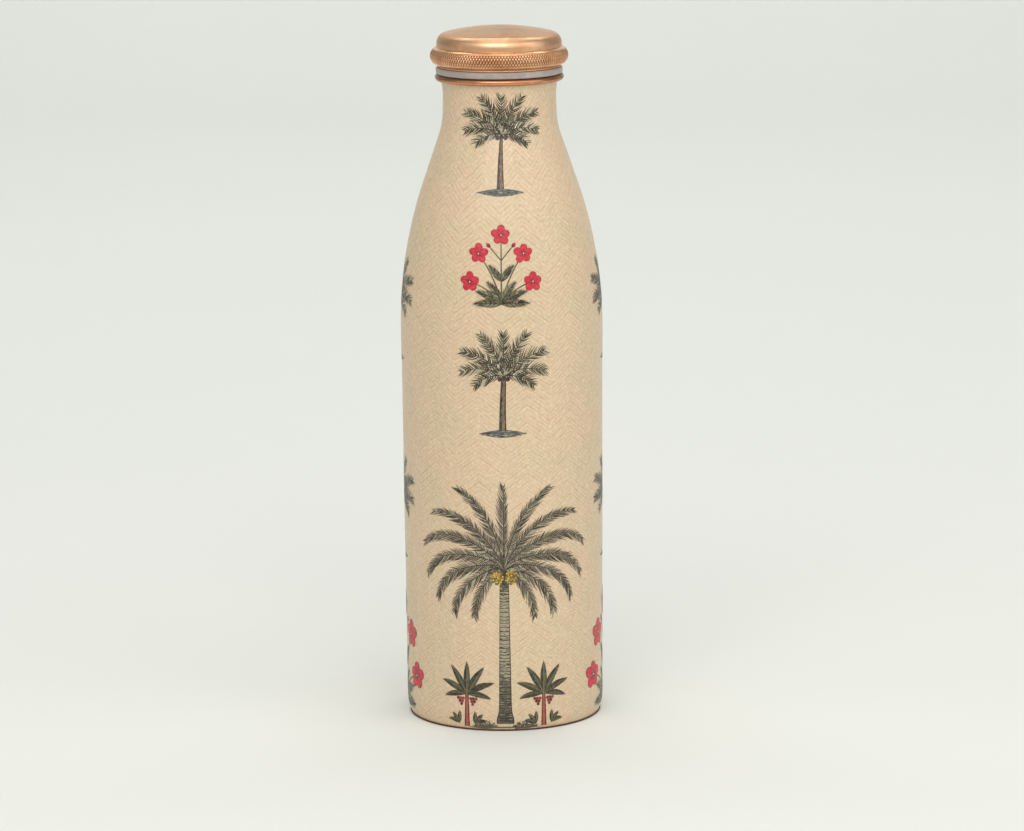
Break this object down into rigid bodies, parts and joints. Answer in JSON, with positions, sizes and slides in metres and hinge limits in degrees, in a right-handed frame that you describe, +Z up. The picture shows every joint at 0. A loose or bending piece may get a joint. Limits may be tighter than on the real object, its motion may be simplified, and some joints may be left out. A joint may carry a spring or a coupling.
{
  "type": "copper water bottle",
  "caption": "Tall round copper water bottle with a tapered shoulder, a decorated printed wrap, a silicone seal and a knurled dome screw cap.",
  "frame": {"origin": "centre of the foot, on the surface that the bottle stands on", "axes": "+Z up along the bottle's axis; -Y is the front of the print; +X is to the right seen from the front"},
  "size_m": [0.077, 0.077, 0.265],
  "materials": {
    "copper_sheet": "satin drawn copper",
    "copper_polished": "polished copper with fine turning marks",
    "copper_knurled": "knurled copper, toned in the grooves",
    "printed_lacquer": "gloss lacquer over a printed pattern",
    "silicone": "translucent white, satin"
  },
  "bodies": {
    "bottle": {"bottle_shell": "copper_sheet", "base_cup": "copper_sheet", "mouth_ring": "copper_polished", "printed_wrap": "printed_lacquer"},
    "seal": {"seal_ring": "silicone"},
    "cap": {"thread_plug": "copper_polished", "grip_ring": "copper_knurled", "cap_dome": "copper_polished"}
  },
  "joints": [
    {"name": "cap_rise", "type": "slide", "parent": "bottle", "child": "seal", "axis": [0, 0, 1], "range_m": [0, 0.0201]},
    {"name": "cap_turn", "type": "hinge", "parent": "seal", "child": "cap", "pos_m": [0, 0, 0.24], "axis": [0, 0, 1], "range_deg": [0, 1800]}
  ],
  "couplings": [
    {"joint": "cap_rise", "follows": "cap_turn", "m_per_rad": 0.00063662}
  ]
}
